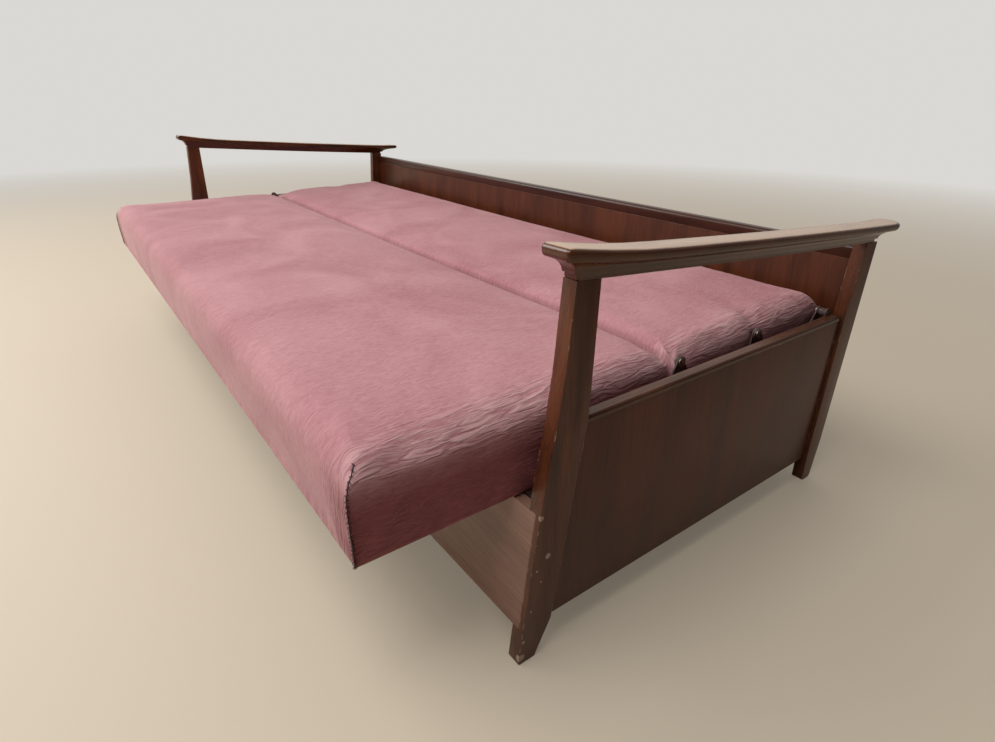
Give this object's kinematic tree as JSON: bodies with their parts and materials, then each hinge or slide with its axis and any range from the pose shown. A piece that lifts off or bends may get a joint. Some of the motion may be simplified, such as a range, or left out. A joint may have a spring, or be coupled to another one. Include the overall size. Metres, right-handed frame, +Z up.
{
  "type": "folding sofa bed",
  "caption": "Folding sofa bed opened flat: wooden end frames and armrests, bedding box, low back with a top rail, and seat and back cushions that fold on a side linkage",
  "frame": {"origin": "on the floor, at the middle of the opened bed's overall length and depth", "axes": "+X runs along the sofa to its right-hand end as seen from the front, +Y runs from the front to the back, +Z is up"},
  "size_m": [1.984, 1.0619, 0.5804],
  "materials": {
    "dark_wood": "gloss varnish",
    "side_veneer": "gloss varnish",
    "front_veneer": "gloss varnish",
    "back_veneer": "gloss varnish",
    "plain_wood": "raw, sawn",
    "floor_board": "raw hardboard",
    "steel": "dull zinc",
    "webbing": "woven jute",
    "dust_cloth": "thin woven cloth",
    "cushion_cloth": "crinkled velour"
  },
  "bodies": {
    "carcase": {"front_post_left": "dark_wood", "front_post_right": "dark_wood", "rear_post_left": "dark_wood", "rear_post_right": "dark_wood", "side_panel_left": "side_veneer", "side_panel_right": "side_veneer", "edge_band_left": "dark_wood", "edge_band_right": "dark_wood", "armrest_left": "dark_wood", "armrest_right": "dark_wood", "front_panel": "front_veneer", "front_rail": "plain_wood", "back_panel": "back_veneer", "back_rail": "dark_wood", "back_ledge": "plain_wood", "runner_left": "plain_wood", "runner_right": "plain_wood", "box_floor": "floor_board", "floor_bearers": "plain_wood", "corner_blocks": "plain_wood", "panel_dowels": "plain_wood", "arm_bracket_left": "steel", "arm_bracket_right": "steel", "bracket_screws": "steel", "rear_rivets": "steel"},
    "swing_arms": {"swing_arm_left": "steel", "swing_arm_right": "steel"},
    "back": {"back_plate_left": "steel", "back_plate_right": "steel", "middle_rivets": "steel", "seam_rivets": "steel", "back_bolts": "steel", "back_long_rails": "plain_wood", "back_end_rails": "plain_wood", "back_cross_rails": "plain_wood", "back_webbing": "webbing", "back_dust_cloth": "dust_cloth", "back_cushion": "cushion_cloth"},
    "seat": {"seat_plate_left": "steel", "seat_plate_right": "steel", "seat_bolts": "steel", "seat_long_rails": "plain_wood", "seat_end_rails": "plain_wood", "seat_cross_rails": "plain_wood", "seat_webbing": "webbing", "seat_dust_cloth": "dust_cloth", "seat_hooks": "steel", "hook_screws": "steel", "seat_cushion": "cushion_cloth"}
  },
  "joints": [
    {"name": "arm_lift", "type": "hinge", "parent": "carcase", "child": "swing_arms", "pos_m": [0, 0.392, 0.364], "axis": [-1, 0, 0], "range_deg": [0, 68]},
    {"name": "back_fold", "type": "hinge", "parent": "swing_arms", "child": "back", "pos_m": [0, 0.194, 0.364], "axis": [1, 0, 0], "range_deg": [0, 136]},
    {"name": "seat_level", "type": "hinge", "parent": "back", "child": "seat", "pos_m": [0, -0.004, 0.364], "axis": [-1, 0, 0], "range_deg": [0, 68]}
  ],
  "couplings": [
    {"joint": "arm_lift", "follows": "back_fold", "ratio": 0.5},
    {"joint": "seat_level", "follows": "back_fold", "ratio": 0.5}
  ]
}
